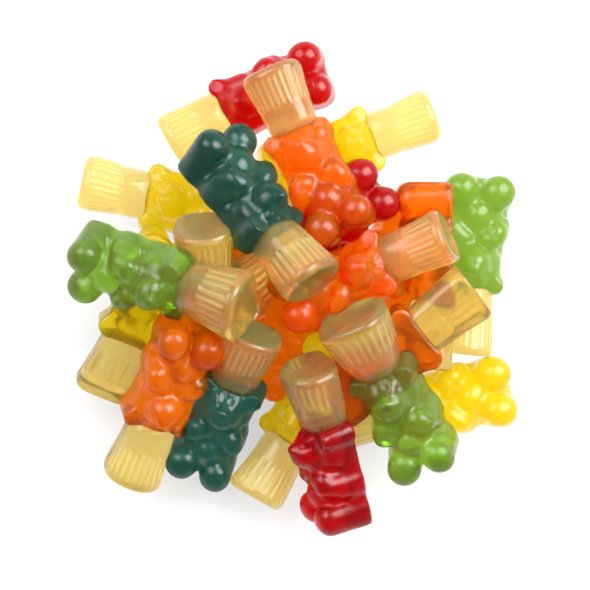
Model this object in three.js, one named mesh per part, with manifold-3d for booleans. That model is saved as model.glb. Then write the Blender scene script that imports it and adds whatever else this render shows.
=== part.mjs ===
// A loose heap of gummy bears in tall cook's hats, fused into one solid.
// Millimetres, +Z up. The heap stands on its flat underside at z = 0, centred on the Z axis.
import * as THREE from "three";
import { mergeVertices } from "three/addons/utils/BufferGeometryUtils.js";
import Module from "manifold-3d";

const wasm = await Module();
wasm.setup();

// One bear lies along +X from its feet to the top of its hat, flat back on z = 0, face up.
const BEAR_LENGTH = 33;
const MIDDLE_HEIGHT = 4.6; // the point that each bear turns about, above its flat back
const FEET_END = 0.6; // the feet stop this far short of the full length
// Its cross-sections from feet to hat: where, half its width, how high its front stands on the
// left and right, and how high along the middle.
const SECTIONS = [
  { name: "toes", along: 0.8, half: 5.6, front: 7.0, middle: 4.6 },
  { name: "feet", along: 3.4, half: 6.3, front: 9.9, middle: 7.2 },
  { name: "legs", along: 6.2, half: 6.2, front: 8.8, middle: 8.4 },
  { name: "hip crease", along: 7.4, half: 5.7, front: 8.0, middle: 9.0 },
  { name: "arms", along: 10.4, half: 6.4, front: 9.0, middle: 8.6 },
  { name: "neck crease", along: 13.0, half: 5.6, front: 7.8, middle: 8.8 },
  { name: "muzzle", along: 16.4, half: 5.7, front: 8.2, middle: 10.8 },
  { name: "cheeks", along: 18.6, half: 5.7, front: 7.8, middle: 9.6 },
  { name: "ears", along: 20.4, half: 6.6, front: 7.0, middle: 8.2 },
  { name: "hat band", along: 22.4, half: 4.7, front: 7.8, middle: 8.1 },
  { name: "first pleats", along: 26.0, half: 4.8, front: 8.2, middle: 8.6 },
  { name: "hat rim", along: 31.8, half: 5.1, front: 8.5, middle: 9.0 },
  { name: "hat top", along: BEAR_LENGTH, half: 4.6, front: 7.8, middle: 8.5 },
];
const HAT_SPREAD = { from: 21.5, to: 26 }; // a stouter hat widens between these
// Round one section in 30 degree steps from the middle of the front to the middle of the back:
// the part of its half width to the side, and the part of its front height up.
const ROUND_SECTION = [[0, 1], [0.55, 1], [0.92, 0.8], [1, 0.4], [1, 0], [0.5, 0], [0, 0]];
const SIDES = 2 * (ROUND_SECTION.length - 1);

// The heap is the table of bears below, moved by this much so that it is centred.
const HEAP_SHIFT = { x: -0.77, y: 0.55 };
const CORE = { x: 1, y: 1, radiusX: 20, radiusY: 21, height: 12 }; // a low mound inside the heap
const TABLE_TOP = { size: 200, depth: 60 }; // everything below z = 0 is cut away

// How each bear lies, lowest first. "at" is its middle; heading is where the hat points, from +X
// towards +Y; tilt lifts the hat; roll turns the face from up towards the right of the heading;
// bow is how far the middle bends to the left of the line from feet to hat; hat makes it stouter.
const BEARS = [
  { name: "lemon_left", at: [-20.5, 14.7, 4.2], heading: 167.1, tilt: 0, roll: 0, size: 0.96, hat: 0.92 },
  { name: "apple_right", at: [31.6, 4.2, 4.2], heading: 263.8, tilt: 0, roll: 0, size: 0.97 },
  { name: "lemon_right", at: [23.3, -20.2, 4.2], heading: 186.4, tilt: 0, roll: 0, size: 0.96 },
  { name: "lemon_face_down", at: [-26.3, -4.6, 7.2], heading: 242.8, tilt: -13, roll: 168, size: 0.94 },
  { name: "lemon_front", at: [1.7, -23.0, 5.2], heading: 239.4, tilt: 0, roll: 8, size: 0.96 },
  { name: "orange_bottom", at: [-0.2, -5.0, 4.4], heading: 62, tilt: 0, roll: 0, size: 0.92 },
  { name: "orange_low", at: [-10.0, 3.0, 4.4], heading: 72, tilt: 0, roll: 0, size: 0.92 },
  { name: "lemon_under", at: [12.8, -2.2, 4.6], heading: 250, tilt: 0, roll: 0, size: 0.92 },
  { name: "cherry_back", at: [-6.8, 30.9, 7.0], heading: 204.8, tilt: -8, roll: 8, bow: -1, size: 0.94 },
  { name: "lemon_back", at: [9.9, 24.2, 6.4], heading: 21.4, tilt: -9, roll: -2, size: 0.96, hat: 0.92 },
  { name: "orange_on_side", at: [23.9, 2.4, 7.0], heading: 270.7, tilt: -1.2, roll: 88, size: 0.96 },
  { name: "lemon_middle", at: [-13.5, -2.9, 12.4], heading: 95.9, tilt: 35.5, roll: -7, size: 0.97 },
  { name: "cherry_middle", at: [3.3, 9.1, 11.8], heading: 219.2, tilt: 8, roll: -8, size: 0.97 },
  { name: "orange_face_down", at: [17.0, -8.9, 14.7], heading: 34.3, tilt: 2, roll: -128, size: 1, hat: 1.1 },
  { name: "orange_left", at: [-21.7, -20, 13.1], heading: 246.8, tilt: -22, roll: -18, size: 0.97 },
  { name: "orange_middle", at: [12.2, 2.5, 18.8], heading: 24, tilt: 12, roll: -7, size: 0.98, hat: 0.94 },
  { name: "teal_front", at: [-11.3, -20.6, 11.8], heading: 66.8, tilt: 29, roll: 5, size: 0.96 },
  { name: "apple_front", at: [17.2, -18.6, 18.0], heading: 118.4, tilt: 24, roll: -20, size: 1, hat: 1.18 },
  { name: "cherry_front", at: [5.6, -27.5, 14.5], heading: 101.9, tilt: 25, roll: -72, size: 0.95, hat: 1.08 },
  { name: "orange_back", at: [3.1, 22.5, 16.5], heading: 115.1, tilt: -5.5, roll: -4, bow: 0.7, size: 0.98 },
  { name: "teal_top", at: [-4.8, 13.0, 20.8], heading: -54, tilt: 19.4, roll: -48, size: 1, hat: 1.04 },
  { name: "apple_top", at: [-22.5, 0.5, 19.5], heading: -17, tilt: 20, roll: 42, size: 0.99, hat: 1.14 },
];

// A closed geometry as a solid that can be joined and cut.
function solidOf(geometry) {
  const bare = geometry.clone();
  bare.deleteAttribute("normal");
  bare.deleteAttribute("uv");
  const merged = mergeVertices(bare, 1e-4);
  return new wasm.Manifold(
    new wasm.Mesh({
      numProp: 3,
      vertProperties: new Float32Array(merged.attributes.position.array),
      triVerts: new Uint32Array(merged.index.array),
    }),
  );
}

function geometryOf(solid) {
  const mesh = solid.getMesh();
  const geometry = new THREE.BufferGeometry();
  geometry.setAttribute("position", new THREE.BufferAttribute(new Float32Array(mesh.vertProperties), 3));
  geometry.setIndex(new THREE.BufferAttribute(new Uint32Array(mesh.triVerts), 1));
  return geometry;
}

// A bear is turned as a plain round bar, and each ring of it is then given its section.
function bearGeometry() {
  const bar = SECTIONS.map(({ along }) => new THREE.Vector2(1, along));
  bar.unshift(new THREE.Vector2(0, FEET_END));
  bar.push(new THREE.Vector2(0, BEAR_LENGTH));
  const geometry = new THREE.LatheGeometry(bar, SIDES).rotateZ(-Math.PI / 2);
  const position = geometry.attributes.position;
  for (let i = 0; i < position.count; i++) {
    const [y, z] = [position.getY(i), position.getZ(i)];
    const section = SECTIONS.find(({ along }) => Math.abs(along - position.getX(i)) < 1e-4);
    if (Math.hypot(y, z) < 0.5) {
      position.setZ(i, MIDDLE_HEIGHT); // the middle of either end
      continue;
    }
    const step = Math.round(Math.abs(Math.atan2(y, z)) / (Math.PI / (ROUND_SECTION.length - 1)));
    const [aside, up] = ROUND_SECTION[step];
    position.setY(i, Math.sign(y) * aside * section.half);
    position.setZ(i, step === 0 ? section.middle : up * section.front);
  }
  return geometry.translate(-BEAR_LENGTH / 2, 0, -MIDDLE_HEIGHT);
}

// The bear bent sideways along an arc, its middle "bow" to the left.
function bent(geometry, bow) {
  const arcRadius = BEAR_LENGTH ** 2 / (8 * bow);
  const position = geometry.attributes.position;
  for (let i = 0; i < position.count; i++) {
    const angle = position.getX(i) / arcRadius;
    const reach = arcRadius + position.getY(i);
    position.setXY(i, reach * Math.sin(angle), reach * Math.cos(angle) - arcRadius + bow / 2);
  }
  return geometry;
}

// The hat made stouter or slimmer, and the head that it sits on left as it is.
function widened(geometry, hat) {
  const position = geometry.attributes.position;
  for (let i = 0; i < position.count; i++) {
    const along = position.getX(i) + BEAR_LENGTH / 2;
    const share = THREE.MathUtils.clamp(
      (along - HAT_SPREAD.from) / (HAT_SPREAD.to - HAT_SPREAD.from), 0, 1,
    );
    const grow = 1 + (hat - 1) * share;
    position.setXYZ(i, position.getX(i), position.getY(i) * grow, position.getZ(i) * grow);
  }
  return geometry;
}

function lyingBear(bear, { at, heading, tilt, roll, bow = 0, size, hat = 1 }) {
  const widenedBear = widened(bear.clone(), hat);
  const geometry = bow === 0 ? widenedBear : bent(widenedBear, bow);
  const [headingRadians, tiltRadians, rollRadians] = [heading, tilt, roll].map(THREE.MathUtils.degToRad);
  const turn = new THREE.Quaternion().setFromEuler(
    new THREE.Euler(rollRadians, -tiltRadians, headingRadians, "ZYX"),
  );
  const place = new THREE.Matrix4().compose(
    new THREE.Vector3(at[0] + HEAP_SHIFT.x, at[1] + HEAP_SHIFT.y, at[2]),
    turn,
    new THREE.Vector3(size, size, size),
  );
  return solidOf(geometry.applyMatrix4(place));
}

function heapSolid() {
  const bear = bearGeometry();
  const core = new THREE.SphereGeometry(1, 18, 9)
    .rotateX(Math.PI / 2)
    .scale(CORE.radiusX, CORE.radiusY, CORE.height)
    .translate(CORE.x + HEAP_SHIFT.x, CORE.y + HEAP_SHIFT.y, 0);
  const below = new THREE.BoxGeometry(TABLE_TOP.size, TABLE_TOP.size, TABLE_TOP.depth)
    .translate(0, 0, -TABLE_TOP.depth / 2);
  const joined = BEARS.reduce((heap, place) => heap.add(lyingBear(bear, place)), solidOf(core));
  // The outer skin alone: hollows sealed between bears are filled.
  const skins = joined.subtract(solidOf(below)).decompose();
  return skins.sort((a, b) => b.volume() - a.volume())[0];
}

const jelly = new THREE.MeshStandardMaterial({ color: 0xe8892a, roughness: 0.3, metalness: 0 });
const heap = new THREE.Mesh(geometryOf(heapSolid()), jelly);
heap.name = "gummy_bear_heap";

const sweets = new THREE.Group();
sweets.add(heap);

export default sweets;
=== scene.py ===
"""A loose heap of gummy bears in cook's hats, poured from clear coloured jelly.

One bear and one hat are modelled in millimetres, lying along +X from the feet to the top of the hat,
with the flat back on z = 0 and the face up. Copies of them are then laid in the heap, in metres.
"""

from math import pi, radians

import bpy
import numpy as np
from mathutils import Euler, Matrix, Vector, noise


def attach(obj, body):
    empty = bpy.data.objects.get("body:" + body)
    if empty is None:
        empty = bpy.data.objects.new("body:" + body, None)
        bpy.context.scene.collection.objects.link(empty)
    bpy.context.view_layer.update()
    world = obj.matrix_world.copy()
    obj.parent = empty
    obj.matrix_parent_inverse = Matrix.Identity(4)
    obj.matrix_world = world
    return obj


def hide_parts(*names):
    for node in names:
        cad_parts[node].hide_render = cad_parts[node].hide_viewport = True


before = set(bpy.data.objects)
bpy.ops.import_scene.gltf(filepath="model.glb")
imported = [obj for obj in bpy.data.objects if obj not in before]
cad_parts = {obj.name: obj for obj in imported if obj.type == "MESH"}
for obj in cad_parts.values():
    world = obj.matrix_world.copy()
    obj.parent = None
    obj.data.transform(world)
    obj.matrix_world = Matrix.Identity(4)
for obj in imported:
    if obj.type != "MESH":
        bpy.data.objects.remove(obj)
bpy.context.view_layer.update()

MM = 0.001
HEAP_NODE = "gummy_bear_heap"
HEAP_SHIFT = Vector((-0.77, 0.55, 0.0))  # centres the heap on its origin, as the solid is

# ---------------------------------------------------------------- sizes of one sweet, millimetres
BEAR_LENGTH = 33.0
MIDDLE_HEIGHT = 4.6  # the point that each bear turns about, above its flat back
JELLY_GRAIN = 0.34  # edge length of the finished skin of a bear
BACK_EDGE = 1.5  # the edge of the flat back is rounded this far up
BACK_EDGE_SMOOTHING = 24  # how many times the edge is smoothed, and then the whole skin
SKIN_SMOOTHING = 20

# Blocks with rounded edges that stand on the flat back, as (centre, half sizes, height, share of the
# width that is left at that height, edge radius): the broad back half of the bear.
MIDDLE_BLOCKS = {
    "back": ((11.2, 0), (10.3, 5.6), 3.4, 0.97, 0.9),
    "chest": ((10.0, 0), (8.0, 4.6), 7.4, 0.9, 2.0),
    "head": ((17.6, 0), (4.4, 5.9), 6.8, 0.88, 2.2),
}
SIDE_BLOCKS = {
    "thigh": ((3.75, 3.2), (3.2, 3.1), 6.6, 0.88, 1.9),
    "sleeve": ((9.95, 3.7), (2.5, 2.75), 6.4, 0.86, 1.7),
}
# Columns that rise from the flat back to the front, as (centre, radii at the back, straight height,
# share of the width that is left at that height, height of the domed end).
MIDDLE_COLUMNS = {
    "crown": ((18.5, 0), (3.4, 4.9), 5.6, 0.95, 2.4),
}
SIDE_COLUMNS = {
    "ear": ((19.9, 4.4), (2.4, 2.2), 4.5, 0.82, 2.1),
    "leg": ((3.7, 3.25), (3.3, 3.15), 7.4, 0.96, 2.5),
    "arm": ((10.7, 3.8), (2.5, 2.5), 6.3, 0.86, 2.6),
}
# Lumps on the front as (centre, radii), along the body, to the side and up from the back.
MIDDLE_LUMPS = {
    "belly": ((8.0, 0, 5.2), (3.4, 3.4, 4.0)),
    "muzzle": ((16.6, 0, 6.8), (3.3, 3.5, 4.0)),
    "nose": ((18.0, 0, 10.2), (1.0, 1.4, 0.95)),
}
SIDE_LUMPS = {
    "forearm": ((12.0, 2.8, 6.9), (1.9, 2.6, 2.1)),
}
# An eye is a bump with a ring pressed round it; the ring's place and width are in radii of the bump.
EYE = {"centre": (19.6, 1.9), "radius": 0.75, "height": 0.45, "moat": 0.2, "ring": 1.7, "ring_width": 0.5}
EAR_RIM = {"centre": (20.1, 4.5, 6.2), "radius": 1.3, "thickness": 0.45}

# The hat in rings: where, half its width, and how high its front stands.
HAT_RINGS = [
    (20.4, 3.9, 6.9),
    (21.6, 4.3, 7.5),
    (23.2, 4.5, 7.8),
    (24.8, 4.6, 8.05),
    (25.5, 4.65, 8.15),
    (26.4, 4.75, 8.3),
    (28.2, 4.95, 8.6),
    (30.0, 5.15, 8.9),
    (31.2, 5.3, 9.1),
    (31.9, 5.3, 9.1),
    (32.45, 5.12, 8.95),
    (32.82, 4.8, 8.6),
    (33.0, 4.3, 8.1),
]
HAT_MIDDLE = 0.44  # the widest part of the hat's section, as a share of its depth
HAT_POWERS = {"front": 2.3, "back": 3.6}  # 2 would be round, and more is squarer
HAT_BACK = 0.05  # how high the flat back of the hat is
HAT_COLUMNS = 64
# The grooves lie this far apart and this far round to either side. The skin between them is sunk by
# a share of their depth too, and they fade out over "fade" at their ends and sideways.
PLEATS = {
    "from": 25.6, "to": 31.6, "depth": 0.32, "sunk": 0.15, "sharpness": 0.7, "fade": 0.6,
    "pitch": radians(14.0), "reach": radians(105), "side_fade": 0.2,
}
HAT_DISH = 0.25  # the top is hollowed by this much
DISH_STEPS = ((0.6, 0.3), (1.1, 0.5), (1.1, 0.2))  # (width, share of the hollow) of each step inwards
HAT_SPREAD = (21.5, 26.0)  # from where to where a stouter hat widens

# ---------------------------------------------------------------- how the sweets lie
# (name, jelly, middle, heading, tilt, roll, bow, size), lowest first. The heading is where the hat
# points; the tilt lifts the hat; the roll turns the face to the right; the bow bends it sideways.
BEARS = [
    ("lemon_left", "yellow", (-20.5, 14.7, 4.2), 167.1, 0, 0, 0, 0.96),
    ("apple_right", "green", (31.6, 4.2, 4.2), 263.8, 0, 0, 0, 0.97),
    ("lemon_right", "yellow", (23.1, -20.5, 4.4), 189.6, 0, 0, 0, 1),
    ("lemon_face_down", "yellow", (-26.3, -4.6, 7.2), 242.8, -13, 168, 0, 0.94),
    ("lemon_front", "yellow", (1.7, -23.0, 5.2), 239.4, 0, 8, 0, 0.96),
    ("orange_bottom", "orange", (0.4, -4.6, 4.4), 62, 0, 0, 0, 0.96),
    ("orange_low", "orange", (-10.0, 3.0, 4.4), 72, 0, 0, 0, 0.92),
    ("orange_under", "orange", (16.6, 0.2, 4.8), 250, 0, 0, 0, 1),
    ("cherry_back", "red", (-7.2, 31.7, 5.6), 204.8, -3, 5, -1, 0.94),
    ("lemon_back", "yellow", (10.2, 24.3, 6.4), 21.4, -9, -2, 0, 0.96),
    ("orange_on_side", "orange", (23.4, 2.2, 7.2), 270.7, -1.2, 88, 0, 1),
    ("lemon_middle", "yellow", (-13.5, -2.9, 12.4), 95.9, 35.5, -7, 0, 0.97),
    ("cherry_middle", "red", (4.0, 8.9, 11.8), 219.2, 8, -8, 0, 0.97),
    ("orange_face_down", "orange", (18.3, -10.3, 14.7), 37, 3, -168, 0, 1),
    ("orange_left", "orange", (-21.7, -20, 13.1), 246.8, -22, -18, 0, 0.97),
    ("orange_middle", "orange", (12.2, 2.5, 18.8), 24, 12, -7, 0, 0.98),
    ("teal_front", "teal", (-11.3, -20.6, 11.8), 66.8, 29, 5, 0, 0.96),
    ("apple_front", "green", (17.2, -18.6, 18.0), 118.4, 24, -20, 0, 1),
    ("cherry_front", "red", (5.6, -27.5, 14.5), 101.9, 25, -72, 0, 0.95),
    ("orange_back", "orange", (3.1, 22.5, 16.5), 115.1, -5.5, -4, 0.7, 0.98),
    ("teal_top", "teal", (-4.8, 13.0, 20.8), -54, 19.4, -48, 0, 1),
    ("apple_top", "green", (-22.5, 0.5, 19.5), -17, 20, 42, 0, 0.99),
]
# Some hats are stouter or slimmer than the rest.
HAT_GIRTH = {
    "lemon_left": 0.92, "lemon_right": 1.1, "lemon_back": 0.92, "orange_middle": 0.94,
    "teal_top": 1.04, "cherry_front": 1.08, "apple_top": 1.14, "apple_front": 1.18,
}
ABOVE_TABLE = 0.02  # soft undersides are pressed level this far above the table
# Each sweet has set a little differently in its mould: how far, over what length, and how far apart
# the sweets lie in the noise that says so. The seed makes that noise the same on every run.
SOFTNESS = {"reach": 0.35, "wave": 9.0, "apart": Vector((7.3, 3.1, 5.7))}
NOISE_SEED = 7

# ---------------------------------------------------------------- jelly
# Share of red, green and blue light that is left after 10 mm of jelly.
LEFT_AFTER_10_MM = {
    "red": (0.82, 0.012, 0.015),
    "orange": (0.99, 0.56, 0.002),
    "yellow": (0.96, 0.87, 0.06),
    "green": (0.62, 0.83, 0.28),
    "teal": (0.12, 0.44, 0.35),
    "hat": (0.78, 0.65, 0.40),
}
MILKY_COLOUR = {
    "red": (0.62, 0.012, 0.02),
    "orange": (1.0, 0.28, 0.002),
    "yellow": (0.92, 0.70, 0.03),
    "green": (0.34, 0.49, 0.09),
    "teal": (0.06, 0.22, 0.18),
    "hat": (1.0, 0.84, 0.33),
}
BODY_JELLY = {"milky_share": 0.13, "roughness": 0.25, "ior": 1.33}
HAT_JELLY = {"milky_share": 0.1, "roughness": 0.2, "ior": 1.38}
CREASE_SHADE = 0.16  # how much milkier and less clear the bottom of a groove is: painted shade in the grooves
# What all the jellies share: how light scatters in the milky part, the faint gloss on top, and the
# fine grain of the skin.
SCATTERING = {
    "Subsurface Weight": 1.0, "Subsurface Radius": (1.0, 0.7, 0.5), "Subsurface Scale": 2.5 * MM,
}
GLOSS = {"Coat Weight": 0.05, "Coat Roughness": 0.2}
GRAIN = {"Scale": 900, "Detail": 3}
GRAIN_BUMP = {"Strength": 0.15, "Distance": 0.1 * MM}

# ---------------------------------------------------------------- small helpers
def deselect_all():
    bpy.ops.object.select_all(action="DESELECT")


def joined(pieces, name):
    deselect_all()
    for piece in pieces:
        piece.select_set(True)
    bpy.context.view_layer.objects.active = pieces[0]
    if len(pieces) > 1:
        bpy.ops.object.join()
    bpy.ops.object.transform_apply(location=True, rotation=True, scale=True)
    whole = bpy.context.view_layer.objects.active
    whole.name = whole.data.name = name
    return whole


def apply_modifier(piece, kind, **settings):
    deselect_all()
    piece.select_set(True)
    bpy.context.view_layer.objects.active = piece
    modifier = piece.modifiers.new(kind.title(), kind)
    for key, value in settings.items():
        setattr(modifier, key, value)
    bpy.ops.object.modifier_apply(modifier=modifier.name)


def points_of(mesh):
    points = np.empty(len(mesh.vertices) * 3)
    mesh.vertices.foreach_get("co", points)
    return points.reshape(-1, 3)


def set_points(mesh, points):
    mesh.vertices.foreach_set("co", points.ravel())
    mesh.update()


def smooth_shaded(piece):
    piece.data.polygons.foreach_set("use_smooth", [True] * len(piece.data.polygons))
    return piece


def set_inputs(node, values):
    for socket, value in values.items():
        node.inputs[socket].default_value = value


# ---------------------------------------------------------------- the bear
def lump(centre, radii):
    bpy.ops.mesh.primitive_uv_sphere_add(segments=32, ring_count=20, radius=1, location=centre)
    bpy.context.object.scale = radii
    return bpy.context.object


def column(centre, radii, height, taper, dome):
    """A drafted column from just below the back to "height", with a domed end."""
    along, aside = centre
    below = 1.0
    bpy.ops.mesh.primitive_cone_add(
        vertices=40, radius1=1, radius2=taper, depth=height + below,
        location=(along, aside, (height - below) / 2),
    )
    shaft = bpy.context.object
    shaft.scale = (*radii, 1)
    end = lump((along, aside, height), (radii[0] * taper, radii[1] * taper, dome))
    return [shaft, end]


def block(centre, half_sizes, height, taper, edge):
    """A drafted block from just below the back to "height", with rounded edges."""
    along, aside = centre
    below = 2.0
    bpy.ops.mesh.primitive_cone_add(
        vertices=4, radius1=2 ** 0.5, radius2=taper * 2 ** 0.5, depth=height + below,
        location=(along, aside, (height - below) / 2), rotation=(0, 0, pi / 4),
    )
    body = bpy.context.object
    bpy.ops.object.transform_apply(location=False, rotation=True, scale=False)
    body.scale = (*half_sizes, 1)
    bpy.ops.object.transform_apply(location=False, rotation=False, scale=True)
    apply_modifier(body, "BEVEL", width=edge, segments=5, limit_method="NONE")
    return body


def rim(centre, radius, thickness, side=1):
    place = (centre[0], side * centre[1], centre[2])
    bpy.ops.mesh.primitive_torus_add(
        location=place, major_radius=radius, minor_radius=thickness,
        major_segments=36, minor_segments=12,
    )
    return bpy.context.object


def cut_flat_back(piece):
    bpy.ops.object.mode_set(mode="EDIT")
    bpy.ops.mesh.select_all(action="SELECT")
    bpy.ops.mesh.bisect(
        plane_co=(0, 0, 0), plane_no=(0, 0, 1), use_fill=True, clear_inner=True, threshold=1e-5
    )
    bpy.ops.object.mode_set(mode="OBJECT")


def round_back_edge(piece):
    near_back = np.flatnonzero(points_of(piece.data)[:, 2] < BACK_EDGE).tolist()
    piece.vertex_groups.new(name="back_edge").add(near_back, 1.0, "REPLACE")
    apply_modifier(piece, "SMOOTH", factor=0.5, iterations=BACK_EDGE_SMOOTHING, vertex_group="back_edge")


def with_eyes(points):
    """Both eyes marked on the front of the head."""
    marked = points.copy()
    for side in (-1, 1):
        from_eye = points[:, :2] - np.array((EYE["centre"][0], side * EYE["centre"][1]))
        reach = np.hypot(*from_eye.T) / EYE["radius"]
        in_front = points[:, 2] > MIDDLE_HEIGHT
        ring = np.exp(-(((reach - EYE["ring"]) / EYE["ring_width"]) ** 2))
        marked[:, 2] += (EYE["height"] * np.exp(-(reach ** 2)) - EYE["moat"] * ring) * in_front
    return marked


def model_bear():
    parts = [block(*sizes) for sizes in MIDDLE_BLOCKS.values()]
    for sizes in MIDDLE_COLUMNS.values():
        parts += column(*sizes)
    parts += [lump(*sizes) for sizes in MIDDLE_LUMPS.values()]
    for side in (-1, 1):
        for (along, aside), *sizes in SIDE_BLOCKS.values():
            parts.append(block((along, side * aside), *sizes))
        for (along, aside), *sizes in SIDE_COLUMNS.values():
            parts += column((along, side * aside), *sizes)
        for (along, aside, up), radii in SIDE_LUMPS.values():
            parts.append(lump((along, side * aside, up), radii))
        parts.append(rim(**EAR_RIM, side=side))
    bear = joined(parts, "one_bear")
    apply_modifier(bear, "REMESH", mode="VOXEL", voxel_size=JELLY_GRAIN)
    cut_flat_back(bear)
    apply_modifier(bear, "REMESH", mode="VOXEL", voxel_size=JELLY_GRAIN)
    round_back_edge(bear)
    apply_modifier(bear, "SMOOTH", factor=0.5, iterations=SKIN_SMOOTHING)
    set_points(bear.data, with_eyes(points_of(bear.data)))
    return smooth_shaded(bear)


# ---------------------------------------------------------------- the hat
def model_hat():
    """A stack of rings shaped to a rounded D, pleated in front and at the sides, its top dished."""
    along, half, front = HAT_RINGS[0]
    bpy.ops.mesh.primitive_circle_add(
        vertices=HAT_COLUMNS, radius=half, fill_type="NGON", location=(along, 0, 0), rotation=(0, pi / 2, 0)
    )
    hat = bpy.context.object
    bpy.ops.object.transform_apply(location=True, rotation=True, scale=True)
    bpy.ops.object.mode_set(mode="EDIT")
    bpy.ops.mesh.select_all(action="SELECT")
    for (was_along, was_half, _), (along, half, _) in zip(HAT_RINGS, HAT_RINGS[1:]):
        bpy.ops.mesh.extrude_region_move(TRANSFORM_OT_translate={"value": (along - was_along, 0, 0)})
        bpy.ops.transform.resize(value=(1, half / was_half, half / was_half), center_override=(along, 0, 0))
    for inset, share in DISH_STEPS:
        bpy.ops.mesh.inset(thickness=inset)
        bpy.ops.transform.translate(value=(-HAT_DISH * share, 0, 0))
    bpy.ops.mesh.select_all(action="SELECT")
    bpy.ops.mesh.normals_make_consistent(inside=False)
    bpy.ops.object.mode_set(mode="OBJECT")
    set_points(hat.data, rounded_d(points_of(hat.data)))
    apply_modifier(hat, "SUBSURF", levels=1, render_levels=1)
    # The groove shares are kept on the hat as the mask of the painted shade in its grooves.
    crease_shade_mask = hat.data.attributes.new("crease", "FLOAT", "POINT")
    crease_shade_mask.data.foreach_set("value", groove_shares(points_of(hat.data)))
    set_points(hat.data, pleated(points_of(hat.data)))
    hat.name = hat.data.name = "one_hat"
    return smooth_shaded(hat)


def rounded_d(points):
    """Round rings turned into a D: flat behind with rounded corners, bowed in front."""
    places, halves, fronts = zip(*HAT_RINGS)
    half = np.interp(points[:, 0], places, halves)
    front = np.interp(points[:, 0], places, fronts)
    angle = np.arctan2(points[:, 1], points[:, 2])
    reach = np.hypot(points[:, 1], points[:, 2]) / half
    in_front = np.abs(angle) < pi / 2
    power = np.where(in_front, HAT_POWERS["front"], HAT_POWERS["back"])
    side, up = np.sin(angle), np.cos(angle)
    grow = (np.abs(side) ** power + np.abs(up) ** power) ** (-1 / power)
    middle = front * HAT_MIDDLE
    height = np.where(in_front, front - middle, middle - HAT_BACK)
    return np.column_stack((
        points[:, 0], reach * grow * side * half, middle + reach * grow * up * height,
    ))


def hat_centres(along):
    """How high the middle of the hat's section is."""
    return np.interp(along, *zip(*[(place, front * HAT_MIDDLE) for place, _, front in HAT_RINGS]))


def groove_shares(points):
    """0 on a smooth skin, up to 1 in the bottom of a groove between the band and the rim."""
    along, aside, up = points.T
    angle = np.arctan2(aside, up - hat_centres(along))
    from_end = np.minimum(along - PLEATS["from"], PLEATS["to"] - along)
    length = np.clip(from_end / PLEATS["fade"], 0, 1)
    spread = np.clip((PLEATS["reach"] - np.abs(angle)) / PLEATS["side_fade"], 0, 1)
    groove = 1 - np.abs(np.cos(pi * angle / PLEATS["pitch"])) ** PLEATS["sharpness"]
    return (PLEATS["sunk"] + (1 - PLEATS["sunk"]) * groove) * length * spread


def pleated(points):
    """Grooves pressed into the front and the sides."""
    along, aside, up = points.T
    centre = hat_centres(along)
    left = 1 - PLEATS["depth"] * groove_shares(points) / np.hypot(aside, up - centre)
    return np.column_stack((along, aside * left, centre + (up - centre) * left))


# ---------------------------------------------------------------- the heap
def bent(points, bow):
    """The sweet bent sideways along an arc, its middle "bow" to the left."""
    if bow == 0:
        return points
    arc = BEAR_LENGTH ** 2 / (8 * bow)
    angle = points[:, 0] / arc
    reach = arc + points[:, 1]
    return np.column_stack((reach * np.sin(angle), reach * np.cos(angle) - arc + bow / 2, points[:, 2]))


def softened(points, number):
    offset = number * SOFTNESS["apart"]
    moves = [noise.noise_vector(Vector(point) / SOFTNESS["wave"] + offset) for point in points]
    return points + np.array(moves) * SOFTNESS["reach"]


def widened(points, girth):
    """The hat made stouter, and the head that it sits on left as it is."""
    share = np.interp(points[:, 0], HAT_SPREAD, (0, 1))[:, None]
    return points * np.where((False, True, True), 1 + (girth - 1) * share, 1)


def laid(model, number, place):
    name, _, middle, heading, tilt, roll, bow, size = place
    copy = bpy.data.objects.new(name, model.data.copy())
    bpy.context.collection.objects.link(copy)
    points = widened(points_of(copy.data) - np.array((0, 0, MIDDLE_HEIGHT)), HAT_GIRTH.get(name, 1))
    points = points - np.array((BEAR_LENGTH / 2, 0, 0))
    points = bent(softened(points, number), bow)
    turn = Euler((radians(roll), radians(-tilt), radians(heading))).to_matrix()
    points = points @ np.array(turn).T * size + np.array(Vector(middle) + HEAP_SHIFT)
    points[:, 2] = np.maximum(points[:, 2], ABOVE_TABLE)
    set_points(copy.data, points * MM)
    return copy


# ---------------------------------------------------------------- materials
def absorption(left_after_10_mm):
    """Colour and density of the jelly, from the light that is left after 10 mm of it."""
    per_metre = [-np.log(left) / (10 * MM) for left in left_after_10_mm]
    density = max(per_metre)
    return [1 - each / density for each in per_metre], density


def jelly_material(name, milky_share, roughness, ior):
    material = bpy.data.materials.new(name + "_jelly")
    material.use_nodes = True
    nodes, links = material.node_tree.nodes, material.node_tree.links
    shader = nodes["Principled BSDF"]
    set_inputs(shader, {
        "Base Color": (*MILKY_COLOUR[name], 1), "Transmission Weight": 1 - milky_share,
        "Roughness": roughness, "IOR": ior, **SCATTERING, **GLOSS,
    })
    colour, density = absorption(LEFT_AFTER_10_MM[name])
    volume = nodes.new("ShaderNodeVolumeAbsorption")
    set_inputs(volume, {"Color": (*colour, 1), "Density": density})
    links.new(volume.outputs["Volume"], nodes["Material Output"].inputs["Volume"])
    add_skin_grain(nodes, links, shader)
    return material


def add_painted_crease_shade(material, milky_share):
    """The bottoms of the pleats are made a little milkier and less clear: painted shade in the grooves."""
    nodes, links = material.node_tree.nodes, material.node_tree.links
    crease = nodes.new("ShaderNodeAttribute")
    crease.attribute_name = "crease"
    clear = nodes.new("ShaderNodeMapRange")
    set_inputs(clear, {"To Min": 1 - milky_share, "To Max": 1 - milky_share - CREASE_SHADE})
    links.new(crease.outputs["Fac"], clear.inputs["Value"])
    links.new(clear.outputs["Result"], nodes["Principled BSDF"].inputs["Transmission Weight"])
    return material


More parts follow.
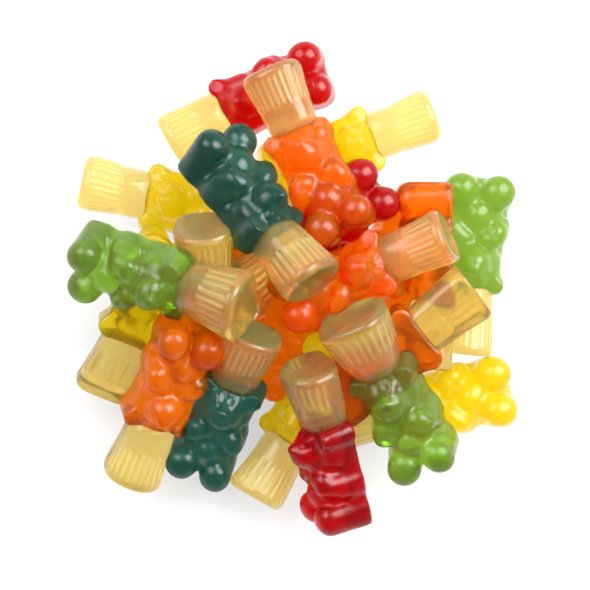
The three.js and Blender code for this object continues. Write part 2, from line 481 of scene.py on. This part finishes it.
def add_skin_grain(nodes, links, shader):
    """The faint orange-peel and pits of set jelly."""
    where = nodes.new("ShaderNodeTexCoord")
    grain = nodes.new("ShaderNodeTexNoise")
    set_inputs(grain, GRAIN)
    links.new(where.outputs["Object"], grain.inputs["Vector"])
    bump = nodes.new("ShaderNodeBump")
    set_inputs(bump, GRAIN_BUMP)
    links.new(grain.outputs["Fac"], bump.inputs["Height"])
    links.new(bump.outputs["Normal"], shader.inputs["Normal"])


# ---------------------------------------------------------------- table, light and camera
TABLE_SIZE = 1.2
TABLE_TOP = {"Base Color": (0.17, 0.17, 0.17, 1), "Roughness": 0.8, "Emission Color": (1, 1, 1, 1)}
CAMERA_HEIGHT = 0.64
FRAME_WIDTH = 103.25 * MM  # what the image shows of the table
CAMERA_OVER = (0.105 * MM, -0.94 * MM)
# How the table's glow grows with the distance from its dimmest spot, where a shadow of the heap is painted
# into the glow, and how the light of the sky fades from the horizon upwards.
PAINTED_SHADOW_CENTRE = (-9 * MM, -11 * MM, 0)
TABLE_GLOW_WITH_PAINTED_SHADOW = {"From Min": 18 * MM, "From Max": 42 * MM, "To Min": 0.6, "To Max": 1.0}
SKY_LIGHT = {"From Min": 0.0, "From Max": 0.7, "To Min": 0.6, "To Max": 0.08}
SOFTBOXES = [  # (name, place, size, power)
    ("left_softbox", (-0.3, 0.24, 0.48), 0.42, 4.4),
    ("right_softbox", (0.36, 0.24, 0.46), 0.46, 9.6),
]


def add_glow_with_painted_shadow(tree, shader):
    """The table glows all round the heap, and less beneath it, where a shadow of the heap is painted into
    its glow.
    """
    where = tree.nodes.new("ShaderNodeTexCoord")
    reach = tree.nodes.new("ShaderNodeVectorMath")
    reach.operation = "DISTANCE"
    reach.inputs[1].default_value = PAINTED_SHADOW_CENTRE
    glow = tree.nodes.new("ShaderNodeMapRange")
    set_inputs(glow, TABLE_GLOW_WITH_PAINTED_SHADOW)
    tree.links.new(where.outputs["Object"], reach.inputs[0])
    tree.links.new(reach.outputs["Value"], glow.inputs["Value"])
    # the glow, dimmed under the heap as a painted shadow
    tree.links.new(glow.outputs["Result"], shader.inputs["Emission Strength"])


def lit_table():
    bpy.ops.mesh.primitive_plane_add(size=TABLE_SIZE, location=(0, 0, 0))
    table = bpy.context.object
    table.name = "lit_table"
    material = bpy.data.materials.new("lit_table")
    material.use_nodes = True
    shader = material.node_tree.nodes["Principled BSDF"]
    set_inputs(shader, TABLE_TOP)
    add_glow_with_painted_shadow(material.node_tree, shader)
    table.data.materials.append(material)


def soft_light(name, place, size, power):
    lamp = bpy.data.lights.new(name, "AREA")
    lamp.shape = "SQUARE"
    lamp.size = size
    lamp.energy = power
    light = bpy.data.objects.new(name, lamp)
    bpy.context.collection.objects.link(light)
    light.location = place
    light.rotation_euler = (-Vector(place)).to_track_quat("-Z", "Y").to_euler()


def pale_horizon():
    """Light that comes mostly from the side, all round, and hardly from straight above."""
    world = bpy.data.worlds.new("studio")
    world.use_nodes = True
    nodes, links = world.node_tree.nodes, world.node_tree.links
    direction = nodes.new("ShaderNodeTexCoord")
    parts = nodes.new("ShaderNodeSeparateXYZ")
    fade = nodes.new("ShaderNodeMapRange")
    fade.interpolation_type = "SMOOTHSTEP"
    set_inputs(fade, SKY_LIGHT)
    links.new(direction.outputs["Generated"], parts.inputs["Vector"])
    links.new(parts.outputs["Z"], fade.inputs["Value"])
    links.new(fade.outputs["Result"], nodes["Background"].inputs["Strength"])
    nodes["Background"].inputs["Color"].default_value = (1, 1, 1, 1)
    return world


def studio():
    bpy.context.scene.world = pale_horizon()
    for softbox in SOFTBOXES:
        soft_light(*softbox)


def camera():
    lens = bpy.data.cameras.new("camera")
    lens.sensor_width = 36
    lens.lens = lens.sensor_width * CAMERA_HEIGHT / FRAME_WIDTH
    lens.clip_end = 10
    eye = bpy.data.objects.new("camera", lens)
    bpy.context.collection.objects.link(eye)
    eye.location = (*CAMERA_OVER, CAMERA_HEIGHT)
    bpy.context.scene.camera = eye


def render_settings():
    scene = bpy.context.scene
    scene.view_settings.view_transform = "Standard"
    scene.cycles.max_bounces = 24
    scene.cycles.transmission_bounces = 24
    scene.cycles.use_denoising = True


# ---------------------------------------------------------------- making it
def finish(piece, material):
    piece.data.materials.clear()
    piece.data.materials.append(material)
    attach(piece, "root")
    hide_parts(HEAP_NODE)


def main():
    noise.seed_set(NOISE_SEED)
    bear, hat = model_bear(), model_hat()
    jellies = sorted({jelly for _, jelly, *_ in BEARS})
    laid_bears = {jelly: [] for jelly in jellies}
    laid_hats = []
    for number, place in enumerate(BEARS):
        laid_bears[place[1]].append(laid(bear, number, place))
        laid_hats.append(laid(hat, number, place))
    for model in (bear, hat):
        bpy.data.objects.remove(model)
    for jelly in jellies:
        piece = joined(laid_bears[jelly], jelly + "_bears")
        finish(piece, jelly_material(jelly, **BODY_JELLY))
    hats = joined(laid_hats, "clear_hats")
    clear_jelly = jelly_material("hat", **HAT_JELLY)
    # the clear hats, with painted shade in their grooves
    finish(hats, add_painted_crease_shade(clear_jelly, HAT_JELLY["milky_share"]))


main()
lit_table()
studio()
camera()
render_settings()
